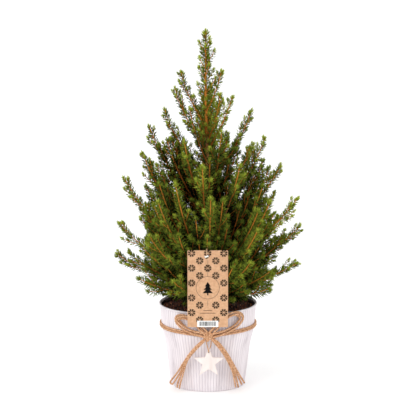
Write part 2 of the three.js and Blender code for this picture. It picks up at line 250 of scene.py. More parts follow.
def tube_faces(rings, sides):
    """Triangles of a tube of rings with a fan at each end; the two end centres are the last two points."""
    i = np.arange(sides)
    j = (i + 1) % sides
    wall = []
    for ring in range(rings - 1):
        a, b = ring * sides, (ring + 1) * sides
        wall += [np.stack([a + i, a + j, b + j], 1), np.stack([a + i, b + j, b + i], 1)]
    foot, top, last = rings * sides, rings * sides + 1, (rings - 1) * sides
    wall += [np.stack([np.full(sides, foot), j, i], 1), np.stack([np.full(sides, top), last + i, last + j], 1)]
    return np.concatenate(wall)


def turned(profile, sides):
    """A ring turned about Z from a closed profile of (radius, height, share of the flutes), in mm."""
    radius, height, fluted = (column[:, None] for column in np.array(profile, float).T)
    around = np.linspace(0, 2 * math.pi, sides, endpoint=False)[None, :]
    groove = (0.5 + 0.5 * np.cos(FLUTES * around)) ** FLUTE_SHARPNESS
    reach = radius * MM + fluted * (FLUTE_PROUD - FLUTE_DEPTH * groove)
    points = np.stack([reach * np.cos(around), reach * np.sin(around), height * MM + 0 * around], axis=-1)
    rings = len(profile)
    i = np.arange(sides)
    j = (i + 1) % sides
    faces = [np.stack([a * sides + i, a * sides + j, b * sides + j, b * sides + i], 1)
             for a, b in zip(range(rings), [*range(1, rings), 0])]
    return points.reshape(-1, 3), np.concatenate(faces)


# ---------------------------------------------------------------- reading the CAD plant
def corners_of(node):
    return np.array([v.co for v in NODES[node].data.vertices], float)


def surface_of(node):
    mesh = NODES[node].data
    return BVHTree.FromPolygons([v.co for v in mesh.vertices], [list(p.vertices) for p in mesh.polygons])


TRUNK_FOOT, TRUNK_TOP = (corner.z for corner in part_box("trunk"))
PROBE_START = 0.1  # metres from the axis, well outside the trunk


def read_trunk(levels=40, probes=8):
    """Centre and radius of the CAD trunk at even heights, felt from outside by rays."""
    surface = surface_of("trunk")
    heights = np.linspace(TRUNK_FOOT + 0.0005, TRUNK_TOP - 0.0005, levels)
    rows = []
    for z in heights:
        hits = []
        for angle in np.linspace(0, 2 * math.pi, probes, endpoint=False):
            away = Vector((math.cos(angle), math.sin(angle), 0))
            hit = surface.ray_cast(Vector((0, 0, z)) + away * PROBE_START, -away, 2 * PROBE_START)[0]
            if hit:
                hits.append(hit)
        hits = np.array(hits)
        centre = hits.mean(axis=0)
        rows.append([*centre[:2], z, np.linalg.norm(hits - centre, axis=1).mean()])
    return np.array(rows)


TRUNK = read_trunk()


def trunk_at(z):
    x, y = (np.interp(z, TRUNK[:, 2], TRUNK[:, k]) for k in (0, 1))
    return np.array([x, y, z])


MASSES = sorted(n for n in NODES if n.startswith("foliage_"))
PLUMES = [n for n in MASSES if "core" not in n and "leader" not in n]


def tip_of(mass):
    """The point of a mass that reaches furthest up and out."""
    points = corners_of(mass)
    return points[np.argmax(points[:, 2] + 0.6 * np.hypot(points[:, 0], points[:, 1]))]


SWEEP = 0.45  # how much a limb bends upwards on its way out, as in the CAD
LIMB_DROP = {"most": 0.8, "least": 0.045, "slope": 1.1, "above_foot": 0.008}


def limb(foot, tip, steps=16):
    share = np.linspace(0, 1, steps + 1)[:, None]
    out = (1 + SWEEP) * share - SWEEP * share**2
    line = foot + (tip - foot) * out
    line[:, 2] = foot[2] + (tip[2] - foot[2]) * share[:, 0]
    return line


def limb_foot(tip, bough=None):
    """Where a limb leaves the trunk: at its CAD bough's inner end, or below its tip by how far out that is."""
    if bough:
        points = corners_of(bough)
        inner = points[np.argsort(np.hypot(points[:, 0], points[:, 1]))[:5]]
        return trunk_at(inner[:, 2].mean())
    reach = math.hypot(tip[0], tip[1])
    drop = min(LIMB_DROP["most"] * (tip[2] - TRUNK_FOOT), LIMB_DROP["least"] + LIMB_DROP["slope"] * reach)
    return trunk_at(max(tip[2] - drop, TRUNK_FOOT + LIMB_DROP["above_foot"]))


# ---------------------------------------------------------------- room that foliage keeps clear of
TAG_LOW, TAG_HIGH = (np.array(corner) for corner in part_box("tag"))
POT_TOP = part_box("pot")[1]
COMPOST_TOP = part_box("compost")[1].z
CLEAR = {"tag": 0.0015, "tag_foot": 0.01, "pot": 0.002, "wall": 0.008, "compost": 0.001, "rim": 0.012}  # metres


def is_clear(points):
    """True where foliage may be: not before or in the tag, not in the pot's wall or compost."""
    x, y, z = points[..., 0], points[..., 1], points[..., 2]
    margin = CLEAR["tag"]
    by_tag = (x > TAG_LOW[0] - margin) & (x < TAG_HIGH[0] + margin) & (z < TAG_HIGH[2] + margin)
    behind_tag = TAG_HIGH[1] - (z - TAG_LOW[2]) * (TAG_HIGH[1] - TAG_LOW[1]) / (TAG_HIGH[2] - TAG_LOW[2])
    before_tag = by_tag & (z > TAG_LOW[2] - CLEAR["tag_foot"]) & (y < behind_tag + margin)
    in_pot = (np.hypot(x, y) < POT_TOP.x + CLEAR["pot"]) & (z < POT_TOP.z + CLEAR["pot"])
    in_well = (np.hypot(x, y) < POT_TOP.x - CLEAR["wall"]) & (z > COMPOST_TOP + CLEAR["compost"])
    below = (z < POT_TOP.z - CLEAR["rim"]) & ~in_well
    return ~before_tag & (~in_pot | in_well) & ~below


# ---------------------------------------------------------------- growth
TURN = 6.28  # about once round, for random angles
SIDE_BEND = 0.22  # how far a side shoot turns back towards its parent and upwards
LONG_SIDE = 0.02  # metres; a longer side shoot has five points on its line, not three


class Shoot:
    """A twig: its centre line, its radius at the foot and the tip, and how its needles look."""

    def __init__(self, line, thick, thin, tint, bare=0.03, lush=1.0, wide=1.3 * MM, dense=1.0, tuft="tip"):
        self.line, self.thick, self.thin, self.tint = line, thick, thin, tint
        self.bare, self.lush, self.wide, self.dense, self.tuft = bare, lush, wide, dense, tuft
        self.length = line_length(line)

    def at(self, share):
        spot = share * (len(self.line) - 1)
        low = min(int(spot), len(self.line) - 2)
        part = spot - low
        here = self.line[low] * (1 - part) + self.line[low + 1] * part
        return here, unit(self.line[low + 1] - self.line[low])


def leaning(along, spin, lean):
    """A direction that leans off another by an angle, spun about it."""
    across = unit(np.cross(along, [0.2, 0.1, 0.97] if abs(along[2]) < 0.9 else [1.0, 0.2, 0.0]))
    over = np.cross(along, across)
    return math.cos(lean) * along + math.sin(lean) * (math.cos(spin) * across + math.sin(spin) * over)


def offshoot(parent, share, spin, lean, length, **looks):
    """A side shoot that leaves its parent at an angle and turns a little back towards it and upwards."""
    start, along = parent.at(share)
    direction = leaning(along, spin, lean)
    turn = unit(0.5 * along + 0.5 * UP) - direction
    t = np.linspace(0, 1, 5 if length > LONG_SIDE else 3)[:, None]
    line = start + length * (direction * t + SIDE_BEND * turn * t**2)
    return Shoot(line, **looks)


def room_ahead(surface, start, direction, wanted, proud):
    """Length that a side shoot may have before it leaves its mass, and a little beyond."""
    hit = surface.ray_cast(Vector(start), Vector(direction), wanted)
    return wanted if hit[0] is None else min(wanted, hit[3] + proud)


# The darker tints, deep and inner, also serve as painted shade inside the crown and under the shoots.
TINTS = {  # the needles' plain colours, dealt out by spray, from light to dark
    "tip": (173, 186, 66),
    "fresh": (133, 148, 50),
    "bright": (106, 122, 43),
    "mid": (82, 95, 36),
    "deep": (55, 66, 25),
    "inner": (22, 26, 10),
}
DARKER = dict(zip(TINTS, [*list(TINTS)[1:], "inner"]))
LIGHTER = dict(zip(TINTS, ["tip", *list(TINTS)[:-1]]))
# The front and right sprays get lighter tints than the left ones, as painted light and shade.
SPRAY_TINTS = {"front": ["fresh", "bright", "bright"], "right": ["fresh", "bright", "bright"],
               "left": ["bright", "bright", "mid", "mid"]}

# How a main shoot branches: metres between side shoots, shares of its length that bear them, their greatest
# length, their share of what is left of the main shoot and their lean in degrees, which of them are short twigs,
# the needles' length, width and number, whether side shoots bear twiglets, and how far out of the mass they grow.
FEATHER = {"spacing": 0.0075, "bears": (0.2, 0.96), "side": 0.052, "left": 0.5, "lean": (17, 32), "short": 2,
           "lush": 0.73, "wide": 1.75 * MM, "dense": 0.86, "twiglets": True, "proud": 0.008}
BRUSH = {"spacing": 0.0155, "bears": (0.2, 0.76), "side": 0.055, "left": 0.66, "lean": (26, 42), "short": 9,
         "lush": 1.14, "wide": 1.6 * MM, "dense": 1.05, "twiglets": False, "proud": 0.006}
FILLER = {"spacing": 0.013, "bears": (0.3, 0.92), "side": 0.045, "left": 0.66, "lean": (24, 42), "short": 3,
          "lush": 1.0, "wide": 1.6 * MM, "dense": 0.75, "twiglets": False, "proud": 0}
SHORT = {"lean": (36, 50), "length": (0.006, 0.014)}
TWIGLET = {"spacing": 0.011, "clear": 0.012, "lean": (34, 50), "length": (0.004, 0.009), "lush": 0.68,
           "dense": 0.7}
LEAST_SHOOT = 0.004  # metres: a shorter one isn't grown


def grow_spray(main, surface, habit, tint, tuft="tip"):
    """Side shoots in a spiral along a main shoot, the long ones nearly in line with it."""
    shoots = [main]
    first, last = habit["bears"]
    count = int(main.length * (last - first) / habit["spacing"])
    spin = chance.uniform(0, 2 * math.pi)
    for i in range(count):
        share = first + (last - first) * (i + chance.uniform(0, 0.8)) / max(count, 1)
        spin += GOLDEN + chance.normal(0, 0.25)
        left = main.length * (1 - share)
        is_long = i % habit["short"] != habit["short"] - 1
        lean = math.radians(chance.uniform(*(habit if is_long else SHORT)["lean"]))
        wanted = habit["side"] * chance.uniform(0.5, 1.15) if is_long else chance.uniform(*SHORT["length"])
        wanted = min(wanted, 0.005 + habit["left"] * left)
        start, along = main.at(share)
        if surface:
            wanted = room_ahead(surface, start, leaning(along, spin, lean), wanted, habit["proud"])
        if wanted < LEAST_SHOOT:
            continue
        side = offshoot(
            main, share, spin, lean, wanted, thick=0.45 * MM + 0.006 * wanted, thin=0.4 * MM, tint=tint,
            lush=habit["lush"] * chance.uniform(0.9, 1.05), wide=habit["wide"], dense=habit["dense"],
            tuft=tuft if is_long else DARKER[tuft],
        )
        shoots.append(side)
        if habit["twiglets"]:
            shoots += grow_twiglets(side, tint, DARKER[tuft])
    return shoots


def grow_twiglets(side, tint, tuft):
    """Twigs of a few millimetres along a side shoot."""
    twiglets = []
    count = int((side.length - TWIGLET["clear"]) / TWIGLET["spacing"])
    spin = chance.uniform(0, 2 * math.pi)
    for i in range(max(count, 0)):
        share = 0.2 + 0.6 * (i + chance.uniform(0, 0.6)) / max(count, 1)
        spin += GOLDEN + chance.normal(0, 0.3)
        length = min(chance.uniform(*TWIGLET["length"]), side.length * (1 - share) + 0.002)
        twiglets.append(
            offshoot(
                side, share, spin, math.radians(chance.uniform(*TWIGLET["lean"])), length,
                thick=0.5 * MM, thin=0.4 * MM, tint=tint, lush=TWIGLET["lush"], wide=side.wide,
                dense=TWIGLET["dense"], tuft=tuft,
            )
        )
    return twiglets


def main_shoot(line, habit, tint, tuft="tip"):
    """A spray's own shoot, thicker the longer it is."""
    length = line_length(line)
    return Shoot(line, (0.6 + 6 * length) * MM, 0.55 * MM, tint, bare=0.06, lush=habit["lush"],
                 wide=habit["wide"], dense=1.25 * habit["dense"], tuft=tuft)


def grow_plumes():
    """One spray for each CAD plume, on its limb, and boughs where the CAD has bare ones."""
    shoots, boughs = [], []
    for mass in PLUMES:
        bough = mass.replace("foliage", "bough")
        bough = bough if bough in NODES else None
        tip = tip_of(mass)
        habit = BRUSH if "front" in mass else FEATHER
        side = "front" if "front" in mass else "right" if tip[0] > 0 else "left"
        tint = chance.choice(SPRAY_TINTS[side])
        main = main_shoot(limb(limb_foot(tip, bough), tip - UP * 2 * MM), habit, tint)
        shoots += grow_spray(main, surface_of(mass), habit, tint)
        if bough:
            boughs.append((bough, main))
    return shoots, boughs


def crown_reach():
    """The crown's radius at a height: the furthest mass there, evened out."""
    points = np.vstack([corners_of(m) for m in PLUMES])
    heights = np.arange(0.15, 0.54, 0.01)
    reach = [np.hypot(*points[np.abs(points[:, 2] - z) < 0.02][:, :2].T).max() for z in heights]
    evened = np.convolve(np.pad(reach, 3, mode="edge"), np.ones(7) / 7, mode="valid")
    return lambda z: float(np.interp(z, heights, evened))


def filler_spray(height, reach, azimuth, habit, tint, tuft="tip"):
    """A spray that stands for no plume of its own and ends at a height, a reach and an azimuth."""
    tip = trunk_at(height) + reach * np.array([math.cos(azimuth), math.sin(azimuth), 0])
    return grow_spray(main_shoot(limb(limb_foot(tip), tip), habit, tint, tuft), None, habit, tint, tuft)


def grow_fillers(count, reaches, tints, tuft, habit, front_habit):
    """Sprays between the plumes, all round the trunk, which end inside the crown's edge."""
    reach_at = crown_reach()
    shoots = []
    for i in range(count):
        share = (i + 0.5) / count
        height = 0.16 + 0.38 * (1 - math.sqrt(1 - share * 0.9))
        reach = reach_at(height) * chance.uniform(*reaches)
        azimuth = i * GOLDEN + chance.normal(0, 0.12)
        is_lit = height < 0.2 or math.cos(azimuth) > 0.2
        tint = chance.choice(tints[1:] if is_lit else tints)
        looks = front_habit if math.sin(azimuth) < -0.5 and height < 0.4 else habit
        shoots += filler_spray(height, reach, azimuth, looks, tint, tuft)
    return shoots


UPPER_FILLERS = {"count": 6, "lowest": 0.405, "step": 0.016}


def grow_upper_fillers():
    """Sprays behind the upper trunk, so that the crown tapers there as it does to the sides."""
    reach_at = crown_reach()
    shoots = []
    for i in range(UPPER_FILLERS["count"]):
        height = UPPER_FILLERS["lowest"] + UPPER_FILLERS["step"] * i
        reach = reach_at(height) * chance.uniform(0.6, 0.85)
        azimuth = math.pi / 2 + chance.normal(0, 0.3)
        shoots += filler_spray(height, reach, azimuth, FEATHER, chance.choice(SPRAY_TINTS["left"]))
    return shoots


LEADER = {"heights": [0.3, 0.45, 0.53, 0.56], "lengths": [0.05, 0.038, 0.034, 0.025, 0.011], "step": 0.0055}


def grow_leader():
    """The trunk's own needles and side shoots near the top, shorter the higher they stand."""
    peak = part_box("foliage_leader")[1].z
    heights = [*np.linspace(0.41, TRUNK_TOP, 20), peak - 0.002]
    line = np.array([trunk_at(min(z, TRUNK_TOP)) * [1, 1, 0] + UP * z for z in heights])
    top = Shoot(line, 2.8 * MM, 0.9 * MM, "bright", bare=0.1, lush=1.0, wide=1.5 * MM, dense=1.6)
    wood = Shoot(np.array([trunk_at(z) for z in np.linspace(0.3, 0.56, 20)]), 4 * MM, 1.5 * MM, "bright")
    shoots = [top]
    spin = 2.6
    for z in np.arange(0.31, peak - 0.018, LEADER["step"]):
        spin += GOLDEN
        parent = wood if z < 0.5 else top
        share = (z - parent.line[0][2]) / (parent.line[-1][2] - parent.line[0][2])
        most = np.interp(z, [*LEADER["heights"], peak], LEADER["lengths"])
        faces_front = 0.34 < z < 0.5 and leaning(UP, spin, 1.5)[1] < -0.6
        length = most * chance.uniform(0.6, 1.0) * (0.3 if faces_front else 1)
        side = offshoot(
            parent, share, spin, math.radians(chance.uniform(30, 44)), length,
            thick=0.5 * MM + 0.01 * length, thin=0.5 * MM, tint=chance.choice(["fresh", "bright", "mid"]),
            lush=0.9, wide=1.6 * MM, dense=1.0,
        )
        shoots += [side, *grow_twiglets(side, "bright", "fresh")]
    return shoots


# ---------------------------------------------------------------- needles and twigs
NEEDLE = {"length": 10.5 * MM, "per_metre": 1000, "lean": 61, "tip_lean": 30, "tip_zone": 0.012,
          "widest": 0.42, "bend": 0.1}
TUFT = {"needles": 16, "length": 8 * MM, "width": 0.95 * MM, "lean": (8, 50), "depth": 4 * MM}


def needle_rows(shoot):
    """Start, direction, shoot direction, length, width and tint of each needle on a shoot."""
    rows = []
    count = int(shoot.length * (1 - shoot.bare) * NEEDLE["per_metre"] * shoot.dense)
    spin = chance.uniform(0, TURN)
    for i in range(count):
        share = shoot.bare + (1 - shoot.bare) * (i + chance.uniform(0, 0.9)) / count
        spot, along = shoot.at(share)
        spin += GOLDEN + chance.normal(0, 0.1)
        near_tip = max(0.0, 1 - shoot.length * (1 - share) / NEEDLE["tip_zone"])
        lean = NEEDLE["lean"] + (NEEDLE["tip_lean"] - NEEDLE["lean"]) * near_tip + chance.normal(0, 6)
        length = NEEDLE["length"] * shoot.lush * chance.uniform(0.8, 1.1) * (1 - 0.3 * near_tip)
        radius = shoot.thick + (shoot.thin - shoot.thick) * share
        start = spot + 0.8 * radius * leaning(along, spin, math.pi / 2)
        direction = leaning(along, spin, math.radians(lean))
        rows.append((start, direction, along, length, shoot.wide, needle_tint(shoot, start, direction)))
    end, along = shoot.at(1.0)
    low, high = TUFT["lean"]
    for i in range(TUFT["needles"]):
        part = (i + 0.5) / TUFT["needles"]
        lean = math.radians(low + (high - low) * part)
        start = end - along * TUFT["depth"] * part
        length = TUFT["length"] * shoot.lush * chance.uniform(0.85, 1.1)
        rows.append((start, leaning(along, i * GOLDEN, lean), along, length, TUFT["width"], shoot.tuft))
    return rows


LIGHT_LUCK, DARK_LUCK = 0.24, 0.74  # shares of the needles below and above which the tint changes
# Painted shade in the lower crown: below top (metres) and within depth (a share of the crown's reach) a needle's
# tint goes one darker, and within DEEP_SHADE it becomes the darkest.
SHADE = {"top": 0.4, "depth": 0.66}
DEEP_SHADE = {"top": 0.34, "depth": 0.5}


def needle_tint(shoot, start, direction):
    """A shoot's own tint or the next one by chance; painted shade makes it the darker one on needles that point
    down, darker still near the trunk low in the crown, and the darkest deep inside it.
    """
    tint = shoot.tint
    luck = chance.uniform()
    if luck < LIGHT_LUCK and tint != "tip":
        tint = LIGHTER[tint]
    elif direction[2] < -0.25 or luck > DARK_LUCK:
        tint = DARKER[tint]
    depth = math.hypot(start[0], start[1]) / REACH_AT(start[2])
    if start[2] < SHADE["top"] and depth < SHADE["depth"]:
        tint = DARKER[tint]
    if start[2] < DEEP_SHADE["top"] and depth < DEEP_SHADE["depth"]:
        tint = "inner"
    return tint


def needles_mesh(starts, directions, alongs, lengths, widths):
    """Spindles of six faces: a point at the foot, a ring of three and a point at the tip that bends forward."""
    side = unit(np.cross(directions, alongs + 0.01))
    over = np.cross(directions, side)
    span = lengths[:, None]
    middle = starts + directions * span * NEEDLE["widest"]
    tips = starts + directions * span + alongs * span * NEEDLE["bend"]
    thirds = [2 * math.pi * k / 3 for k in range(3)]
    rings = [middle + widths[:, None] / 2 * (math.cos(a) * side + math.sin(a) * over) for a in thirds]
    points = np.stack([starts, *rings, tips], axis=1)
    one = np.array([[0, 2, 1], [0, 3, 2], [0, 1, 3], [4, 1, 2], [4, 2, 3], [4, 3, 1]])
    faces = one[None] + 5 * np.arange(len(starts))[:, None, None]
    return points.reshape(-1, 3), faces.reshape(-1, 3)


MOST_FACES = 190_000  # in one piece


def build_needles(shoots):
    """The needles that have room, in pieces of one tint each."""
    by_tint = {tint: [] for tint in TINTS}
    for shoot in shoots:
        for row in needle_rows(shoot):
            by_tint[row[-1]].append(row[:-1])
    pieces = []
    for tint, rows in by_tint.items():
        if not rows:
            continue
        starts, directions, alongs = (np.array([r[k] for r in rows]) for k in range(3))
        lengths, widths = (np.array([r[k] for r in rows]) for k in (3, 4))
        middles = starts + directions * lengths[:, None] / 2
        tips = starts + directions * lengths[:, None]
        fits = is_clear(starts) & is_clear(tips) & is_clear(middles)
        measures = [a[fits] for a in (starts, directions, alongs, lengths, widths)]
        material = plain("needles_" + tint, TINTS[tint], 0.8, specular=0.0)
        parts = math.ceil(6 * len(measures[0]) / MOST_FACES)
        for i in range(parts):
            chosen = slice(i, None, parts)
            points, faces = needles_mesh(*(a[chosen] for a in measures))
            pieces.append(keep(mesh_object(f"needles_{tint}_{i + 1}", points, faces, material, True), "needles"))
    return pieces


OLD_WOOD = {"depth": 0.62, "top": 0.42}


def build_twigs(shoots):
    """Orange young wood near the crown's edge, browner wood inside."""
    young, old = Batch(), Batch()
    for shoot in shoots:
        line = shoot.line[is_clear(shoot.line)]
        if len(line) < 2 or len(line) < len(shoot.line) and shoot.length < 0.03:
            continue
        radii = np.linspace(shoot.thick, shoot.thin, len(line))
        inner = [math.hypot(x, y) < OLD_WOOD["depth"] * REACH_AT(z) and z < OLD_WOOD["top"] for x, y, z in line]
        split = int(np.sum(inner))
        sides = 6 if shoot.length > 0.06 else 3
        if split:
            old.add(*swept(line[: max(split + 1, 2)], radii[: max(split + 1, 2)], sides))
        if len(line) - split >= 2:
            young.add(*swept(line[split:], radii[split:], sides))
    keep(young.build("twigs_young", plain("twigs_young", (214, 132, 56), 0.8, specular=0.0), True), "bark")
    keep(old.build("twigs_old", plain("twigs_old", (172, 98, 42), 0.8, specular=0.0), True), "bark")


# ---------------------------------------------------------------- trunk and boughs with bark
def bark_tube(line, radii, sides, depth, seed):
    """A tube with plates and furrows of bark."""
    waves = np.random.default_rng(seed)
    around = np.linspace(0, 2 * math.pi, sides, endpoint=False)
    heights = np.arange(len(line))
    relief = np.zeros((len(line), sides))
    for k in range(1, 9):
        phase, climb = waves.uniform(0, TURN), waves.uniform(-0.6, 0.6)
        turns = waves.integers(2, 9)
        relief += np.sin(turns * around[None] + climb * heights[:, None] + phase) / math.sqrt(k)
    relief += waves.normal(0, 0.6, relief.shape)
    reach = np.asarray(radii)[:, None] * (1 + depth * np.clip(relief, -2, 2) / 2)
    return rings_round(line, reach, around[None]), tube_faces(len(line), sides)


def build_wood(boughs):
    bark = mottled(
        "bark", [(0.3, (104, 64, 38)), (0.5, (170, 108, 62)), (0.68, (206, 142, 88))], 260, (1, 1, 0.4), 0.85
    )
    heights = np.linspace(TRUNK_FOOT, TRUNK_TOP, 170)
    line = np.array([trunk_at(z) for z in heights])
    slimmed = np.interp(heights, [0.2, 0.34], [1, 0.82])
    radii = np.maximum(np.interp(heights, TRUNK[:, 2], TRUNK[:, 3]) * slimmed, 1.1 * MM)
    trunk = mesh_object("trunk_bark", *bark_tube(line, radii, 20, 0.09, 5), bark, True)
    keep(trunk, "bark", "trunk")
    for seed, (node, main) in enumerate(boughs):
        covered = main.line[: int(len(main.line) * 0.6) + 1]
        line = even_line(covered, 40)
        radii = np.linspace(2.3, 0.9, len(line)) * MM
        piece = mesh_object(node + "_bark", *bark_tube(line, radii, 10, 0.1, seed), bark, True)
        keep(piece, "bark", node)


# ---------------------------------------------------------------- pot and compost
FLUTES = 84
FLUTE_DEPTH = 0.9 * MM
FLUTE_PROUD = 0.9 * MM  # the ridges stand proud of the CAD's smooth wall
FLUTE_SHARPNESS = 5
POT = {"foot": 59.3, "shoulder": (69, 67.6), "collar": (95, 74.3), "collar_top": (131.6, 77.4), "wall": 1.3,
       "bead": 1.6}  # millimetres; the pairs are (height, radius)


def wall_radius(z):
    """The pot's outer radius at a height, with the shoulder's corners rounded off, in millimetres."""
    below = (-10, POT["foot"] - 1.2)
    stations = np.array([below, (0, POT["foot"]), POT["shoulder"], POT["collar"], POT["collar_top"]])
    near = z + np.linspace(-6, 6, 9)
    return float(np.interp(near, *stations.T).mean())


def build_pot():
    """The fluted pot: (radius, height, share of the flutes' depth) up, over the rolled rim and down inside."""
    height, rim, wall, bead = POT_TOP.z / MM, POT_TOP.x / MM, POT["wall"], POT["bead"]
    foot, top = POT["foot"], POT["collar_top"][1]
    profile = [(0.5, 0, 0), (foot - 1.2, 0, 0), (foot - 0.2, 0.6, 0), (foot, 2.4, 0), (foot + 0.4, 5, 1)]
    profile += [(wall_radius(z), z, 1) for z in (14, 34, 54, *range(62, 104, 5), 112, 124)]
    profile += [(top - 0.2, 129.5, 0.6), (top, 131, 0), (top, height - bead, 0), (top - wall, height - bead, 0),
                (top - wall, height - 7, 0), (wall_radius(95) - wall, 95, 0), (wall_radius(66) - wall, 66, 0),
                (foot - wall, 3, 0), (0.5, 3, 0)]
    whitewash = [(0.3, (204, 195, 199)), (0.45, (229, 221, 224)), (0.62, (238, 231, 234))]
    zinc = mottled("whitewashed_zinc", whitewash, 60, (1, 1, 0.12), 0.8, 8, 0.0)
    shade_flutes(zinc)
    points, faces = turned(profile, FLUTES * 6)
    keep(mesh_object("pot_fluted", points, faces, zinc, True), "zinc", "pot")
    roll = [(rim - bead + bead * math.cos(a), height - bead + bead * math.sin(a), 0)
            for a in np.linspace(0, 2 * math.pi, 12, endpoint=False)]
    points, faces = turned(roll, 2 * FLUTES)
    keep(mesh_object("pot_rim", points, faces, mottled("rim", whitewash, 90, (1, 1, 1), 0.5, 8), True), "zinc")
    # A dark band round the inside of the wall, just below the rim.
    edge = rim - 2 * bead
    high, low = height - 2, height - 11
    rim_band = [(edge - 0.1, high, 0), (edge - 0.6, high, 0), (edge - 1.3, low, 0), (edge - 0.6, low, 0)]
    points, faces = turned(rim_band, FLUTES)
    keep(mesh_object("pot_dark_band", points, faces, plain("dark_band", (64, 44, 36), 0.9), True), "zinc")


def shade_flutes(material):
    """Darkens the base colour in the flutes' grooves, by the angle round the pot: painted shade in the grooves.
    """
    nodes, links = material.node_tree.nodes, material.node_tree.links
    where, angle = nodes.new("ShaderNodeTexCoord"), nodes.new("ShaderNodeTexGradient")
    count, share = nodes.new("ShaderNodeMath"), nodes.new("ShaderNodeMath")
    shade, mix = nodes.new("ShaderNodeValToRGB"), nodes.new("ShaderNodeMix")
    angle.gradient_type = "RADIAL"
    count.operation, share.operation = "MULTIPLY", "FRACT"
    count.inputs[1].default_value = FLUTES
    mix.data_type, mix.blend_type = "RGBA", "MULTIPLY"
    mix.inputs["Factor"].default_value = 1.0
    # Painted shade: grey at the bottom of each groove, white on the ridges.
    for element, place, rgb in zip(shade.color_ramp.elements, (0, 0.2), ((226, 223, 226), (255, 255, 255))):
        element.position, element.color = place, linear(rgb)
    for place, rgb in ((0.8, (255, 255, 255)), (1.0, (226, 223, 226))):
        shade.color_ramp.elements.new(place).color = linear(rgb)
    shader = nodes["Principled BSDF"]
    plain_colour = shader.inputs["Base Color"].links[0].from_socket
    links.new(where.outputs["Object"], angle.inputs["Vector"])
    links.new(angle.outputs["Fac"], count.inputs[0])
    links.new(count.outputs[0], share.inputs[0])
    links.new(share.outputs[0], shade.inputs["Fac"])
    colours = [socket for socket in mix.inputs if socket.type == "RGBA"]
    links.new(plain_colour, colours[0])
    links.new(shade.outputs["Color"], colours[1])
    links.new([socket for socket in mix.outputs if socket.type == "RGBA"][0], shader.inputs["Base Color"])


COMPOST = {"rings": 25, "round": 96, "chips": 1100, "crown": 0.002}  # crown: metres, middle above edge
CHIP_SIDES = [(1.2, 4.5), (0.8, 2.2), (0.5, 1.4)]  # millimetres


def build_compost():
    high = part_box("compost")[1]
    centre_z, edge = high.z, high.x - 0.001
    earth = mottled(
        "compost", [(0.3, (38, 18, 13)), (0.5, (72, 36, 25)), (0.7, (108, 60, 40))], 240, roughness=0.95
    )
    rings, sides = COMPOST["rings"], COMPOST["round"]
    points = []
    for ring in range(rings + 1):
        for i in range(sides):
            r, a = edge * (ring / rings), 2 * math.pi * i / sides
            x, y = r * math.cos(a), r * math.sin(a)
            bump = 0.9 * MM * (math.sin(310 * x + 90 * y) + math.sin(270 * y - 140 * x) + math.sin(520 * x * 1.3))
            level = centre_z - COMPOST["crown"] * (r / edge) - 0.0012
            points.append((x, y, level + bump * min(1, 2 - 2 * r / edge)))
    i = np.arange(sides)
    j = (i + 1) % sides
    faces = np.concatenate([
        np.stack([a * sides + i, (a + 1) * sides + i, (a + 1) * sides + j, a * sides + j], 1)
        for a in range(rings)
    ])
    keep(mesh_object("compost_surface", np.array(points), faces, earth, True), "compost", "compost")
    kinds = {"dark": (0.48, (52, 26, 18)), "red": (0.42, (122, 62, 40)), "pale": (0.1, (176, 120, 84))}
    for tint, (part, rgb) in kinds.items():
        chips = Batch()
        for _ in range(int(COMPOST["chips"] * part)):
            r = edge * math.sqrt(chance.uniform(0.02, 0.97))
            a = chance.uniform(0, 2 * math.pi)
            size = np.array([chance.uniform(*side) for side in CHIP_SIDES]) * MM / 2
            place = np.array([r * math.cos(a), r * math.sin(a), centre_z - COMPOST["crown"] * r / edge + 0.0004])
            chips.add(*chip(place, size))
        keep(chips.build("compost_chips_" + tint, plain("chips_" + tint, rgb, 0.95)), "compost")


def chip(place, size):
    """A rough box turned any way."""
    box = np.array([[x, y, z] for x in (-1, 1) for y in (-1, 1) for z in (-1, 1)], float)
    box = box * size * chance.uniform(0.6, 1.1, box.shape)
    q, _ = np.linalg.qr(chance.normal(size=(3, 3)))
    flat = np.array([[0, 1, 3], [0, 3, 2], [4, 6, 7], [4, 7, 5], [0, 4, 5], [0, 5, 1], [2, 3, 7], [2, 7, 6],
                     [0, 2, 6], [0, 6, 4], [1, 5, 7], [1, 7, 3]])
    if np.linalg.det(q) < 0:
        q = -q
    return box @ q.T + place, flat


# ---------------------------------------------------------------- twine
STRAND = {"radius": 1.7 * MM, "step": 1.3 * MM, "sides": 9, "turn": 9 * MM}
KNOT = np.array([0.0, -84.0, 99.4]) * MM
# The routes follow the CAD's, in millimetres. The knot's wraps are (shift in millimetres, tilt in radians).
LEFT_LOOP = [
    (0, -84, 99), (-12, -85.5, 102), (-28, -80, 106.5), (-42, -70.5, 112.5), (-50.5, -65, 121),
    (-47, -70, 127.5), (-36, -77.5, 129.5), (-22, -83, 124), (-11, -86, 112), (-2, -86, 102),
]
RIGHT_LOOP = [
    (0, -84, 99), (13, -85.5, 101.5), (30, -79.5, 105.5), (45, -69, 111.5), (54.5, -62, 122),
    (51, -67.5, 130), (42, -75, 133), (27, -82, 128), (13, -86, 114), (2, -86, 102),
]
LEFT_STEM = [(0, -84.5, 98), (-10, -84.5, 89), (-25, -79.5, 72), (-36, -70.5, 54)]
RIGHT_STEM = [(0, -84.5, 98), (12, -84.5, 90), (25, -79.5, 73), (35, -70.5, 54)]
LEFT_ENDS = [
    [(-49, -57, 33), (-61, -41.5, 13), (-60, -41, 9.5), (-57, -43.5, 10), (-46.5, -57.5, 30), (-37.5, -68, 51)],
    [(-43.5, -61.5, 31), (-48.5, -55, 16), (-50.5, -51, 5.5)],
    [(-40.5, -64, 31), (-44.5, -58, 16), (-46.5, -54, 4.5)],
]
